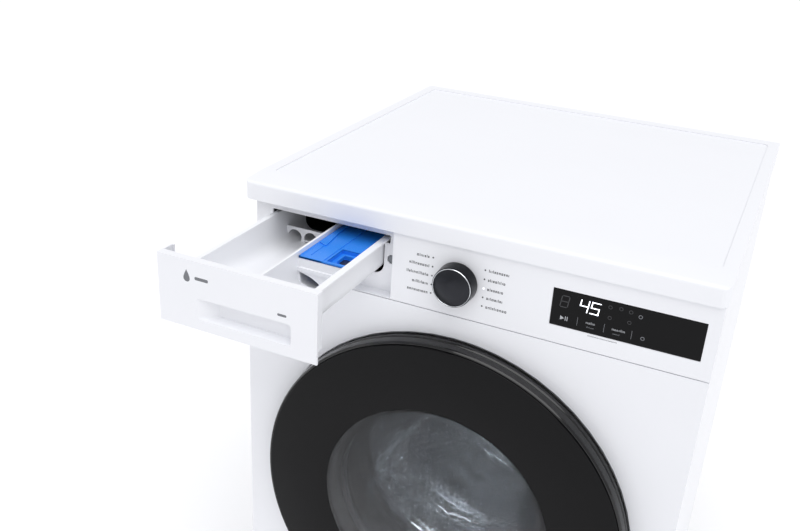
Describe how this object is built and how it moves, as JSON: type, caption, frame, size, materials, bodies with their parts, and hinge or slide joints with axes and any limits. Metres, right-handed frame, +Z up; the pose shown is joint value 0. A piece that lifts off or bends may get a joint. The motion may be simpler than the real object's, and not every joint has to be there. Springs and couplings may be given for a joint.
{
  "type": "front load washing machine",
  "caption": "Free-standing front loading washing machine with a round glass door, pull-out detergent drawer, programme knob and sprung tub with a perforated drum.",
  "frame": {"origin": "middle of the footprint on the floor, with the drawer pulled out as at rest", "axes": "+X to the machine's right seen from the front, +Y to the back, +Z up"},
  "size_m": [0.6, 0.7768, 0.85],
  "materials": {
    "cover_enamel": "gloss enamel",
    "panel_plastic": "satin ABS",
    "cabinet_enamel": "gloss enamel",
    "zinc_sheet": "galvanised",
    "foot_rubber": "moulded",
    "knob_metal": "radially brushed, dark anodised",
    "display_glass": "black printed",
    "circuit_board": "glass fibre laminate",
    "grey_plastic": "polypropylene",
    "drawer_plastic": "satin ABS",
    "cap_plastic": "blue polypropylene",
    "door_black": "piano black",
    "door_glass": "smoked, tempered",
    "bowl_glass": "pressed",
    "gasket_rubber": "moulded EPDM",
    "concrete": "cast",
    "bearing_steel": "ground",
    "drum_steel": "perforated stainless",
    "cast_alloy": "die cast",
    "motor_dark": "varnished laminations",
    "spring_steel": "drawn wire"
  },
  "bodies": {
    "cabinet": {"top_cover": "cover_enamel", "control_panel": "panel_plastic", "front_panel": "cabinet_enamel", "side_panel_left": "cabinet_enamel", "side_panel_right": "cabinet_enamel", "rear_panel": "zinc_sheet", "base_pan": "zinc_sheet", "front_crossbar": "zinc_sheet", "display_window": "display_glass", "display_board": "circuit_board", "selector_switch": "grey_plastic", "dispenser_housing": "grey_plastic", "hinge_bracket": "zinc_sheet", "door_lock": "grey_plastic", "gasket": "gasket_rubber", "drain_pump": "grey_plastic", "inlet_valve": "grey_plastic", "drain_connector": "grey_plastic", "cord_gland": "foot_rubber", "foot_front_left": "foot_rubber", "foot_front_right": "foot_rubber", "foot_rear_left": "foot_rubber", "foot_rear_right": "foot_rubber", "damper_cylinder_left": "grey_plastic", "transit_cap_left": "grey_plastic", "damper_cylinder_right": "grey_plastic", "transit_cap_right": "grey_plastic"},
    "tub": {"tub_front": "grey_plastic", "tub_rear": "grey_plastic", "counterweight_upper": "concrete", "counterweight_lower": "concrete", "bearing_front": "bearing_steel", "bearing_rear": "bearing_steel", "stator": "motor_dark", "heater": "bearing_steel", "spring_left": "spring_steel", "spring_right": "spring_steel", "damper_rod_left": "bearing_steel", "damper_rod_right": "bearing_steel"},
    "drum": {"drum_wrapper": "drum_steel", "drum_front_plate": "drum_steel", "drum_back_plate": "drum_steel", "lifter_1": "grey_plastic", "lifter_2": "grey_plastic", "lifter_3": "grey_plastic", "drum_spider": "cast_alloy", "rotor": "zinc_sheet"},
    "door": {"door_ring": "door_black", "door_disk": "door_glass", "door_bowl": "bowl_glass", "door_frame": "door_black", "hinge_arm": "zinc_sheet", "hinge_pin": "bearing_steel", "latch_hook": "zinc_sheet"},
    "drawer": {"drawer_front": "drawer_plastic", "drawer_tray": "drawer_plastic", "softener_cap": "cap_plastic"},
    "knob": {"programme_knob": "knob_metal"},
    "flap": {"service_flap": "panel_plastic"},
    "filter": {"pump_filter": "grey_plastic"}
  },
  "joints": [
    {"name": "drawer_slide", "type": "slide", "parent": "cabinet", "child": "drawer", "axis": [0, 0.9998, 0.0223], "range_m": [0, 0.17974]},
    {"name": "door_hinge", "type": "hinge", "parent": "cabinet", "child": "door", "pos_m": [-0.239, -0.22165, 0.4471], "axis": [0, 0, -1], "range_deg": [0, 150]},
    {"name": "knob_spin", "type": "hinge", "parent": "cabinet", "child": "knob", "pos_m": [-0.002, -0.20865, 0.77755], "axis": [0, -1, 0], "continuous": true},
    {"name": "tub_float", "type": "slide", "parent": "cabinet", "child": "tub", "axis": [0, 0, 1], "range_m": [-0.008, 0.008], "stiffness_N_per_m": 16000, "springref_m": 0.02339, "deforming": ["spring_left", "spring_right", "gasket"]},
    {"name": "drum_spin", "type": "hinge", "parent": "tub", "child": "drum", "pos_m": [0, 0.09135, 0.4471], "axis": [0, 1, 0], "continuous": true},
    {"name": "flap_hinge", "type": "hinge", "parent": "cabinet", "child": "flap", "pos_m": [0.215, -0.2074, 0.044], "axis": [1, 0, 0], "range_deg": [0, 95]},
    {"name": "filter_turn", "type": "hinge", "parent": "cabinet", "child": "filter", "pos_m": [0.215, -0.18865, 0.076], "axis": [0, 1, 0], "range_deg": [-90, 0]}
  ]
}
